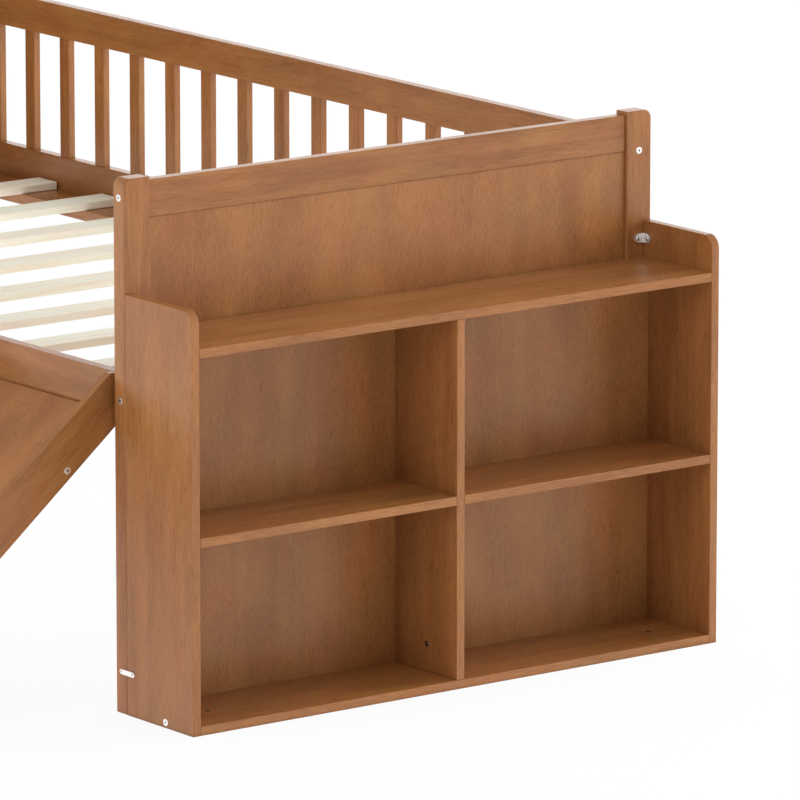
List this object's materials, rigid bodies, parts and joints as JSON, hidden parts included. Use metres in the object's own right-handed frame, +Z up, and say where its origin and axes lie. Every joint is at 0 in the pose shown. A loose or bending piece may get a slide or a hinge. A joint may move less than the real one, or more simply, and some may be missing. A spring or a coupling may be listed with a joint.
{
  "type": "loft bed with slide",
  "caption": "Low loft bed in stained wood with slatted base, spindle guards, slide, ladder and an open bookcase across its foot.",
  "frame": {"origin": "middle of the footprint's bounding box, slide included, on the floor", "axes": "+X along the bed from the head to the bookcase at the foot, +Y from the slide's side to the rear guard, +Z up"},
  "size_m": [2.1612, 1.6524, 0.863],
  "materials": {
    "stained_wood": "solid wood, walnut-coloured stain, satin lacquer",
    "stained_panel": "veneered board, walnut-coloured stain, satin lacquer",
    "bare_wood": "planed, pale and unfinished",
    "zinc_steel": "bright zinc plate"
  },
  "bodies": {
    "root": {"post_head_front": "stained_wood", "post_head_rear": "stained_wood", "head_top_rail": "stained_wood", "head_low_rail": "stained_wood", "head_panel": "stained_panel", "post_foot_front": "stained_wood", "post_foot_rear": "stained_wood", "foot_top_rail": "stained_wood", "foot_low_rail": "stained_wood", "foot_panel": "stained_panel", "side_rail_front": "stained_wood", "side_rail_rear": "stained_wood", "ledger_front": "stained_wood", "ledger_rear": "stained_wood", "slat_01": "bare_wood", "slat_02": "bare_wood", "slat_03": "bare_wood", "slat_04": "bare_wood", "slat_05": "bare_wood", "slat_06": "bare_wood", "slat_07": "bare_wood", "slat_08": "bare_wood", "slat_09": "bare_wood", "slat_10": "bare_wood", "guard_rear_top_rail": "stained_wood", "guard_spindle_01": "stained_wood", "guard_spindle_02": "stained_wood", "guard_spindle_03": "stained_wood", "guard_spindle_04": "stained_wood", "guard_spindle_05": "stained_wood", "guard_spindle_06": "stained_wood", "guard_spindle_07": "stained_wood", "guard_spindle_08": "stained_wood", "guard_spindle_09": "stained_wood", "guard_spindle_10": "stained_wood", "guard_spindle_11": "stained_wood", "guard_spindle_12": "stained_wood", "guard_spindle_13": "stained_wood", "guard_spindle_14": "stained_wood", "guard_spindle_15": "stained_wood", "guard_spindle_16": "stained_wood", "guard_spindle_17": "stained_wood", "guard_front_panel": "stained_wood", "slide_side_foot": "stained_wood", "slide_side_head": "stained_wood", "slide_bed": "stained_panel", "ladder_stile_head": "stained_wood", "ladder_stile_foot": "stained_wood", "ladder_tread_1": "stained_wood", "ladder_tread_2": "stained_wood", "case_side_front": "stained_panel", "case_side_rear": "stained_panel", "case_bottom": "stained_panel", "case_top_shelf": "stained_panel", "case_divider": "stained_panel", "case_shelf_front": "stained_panel", "case_shelf_rear": "stained_panel", "case_back": "stained_panel", "case_bracket_front": "zinc_steel", "case_bracket_rear": "zinc_steel"}
  },
  "joints": []
}
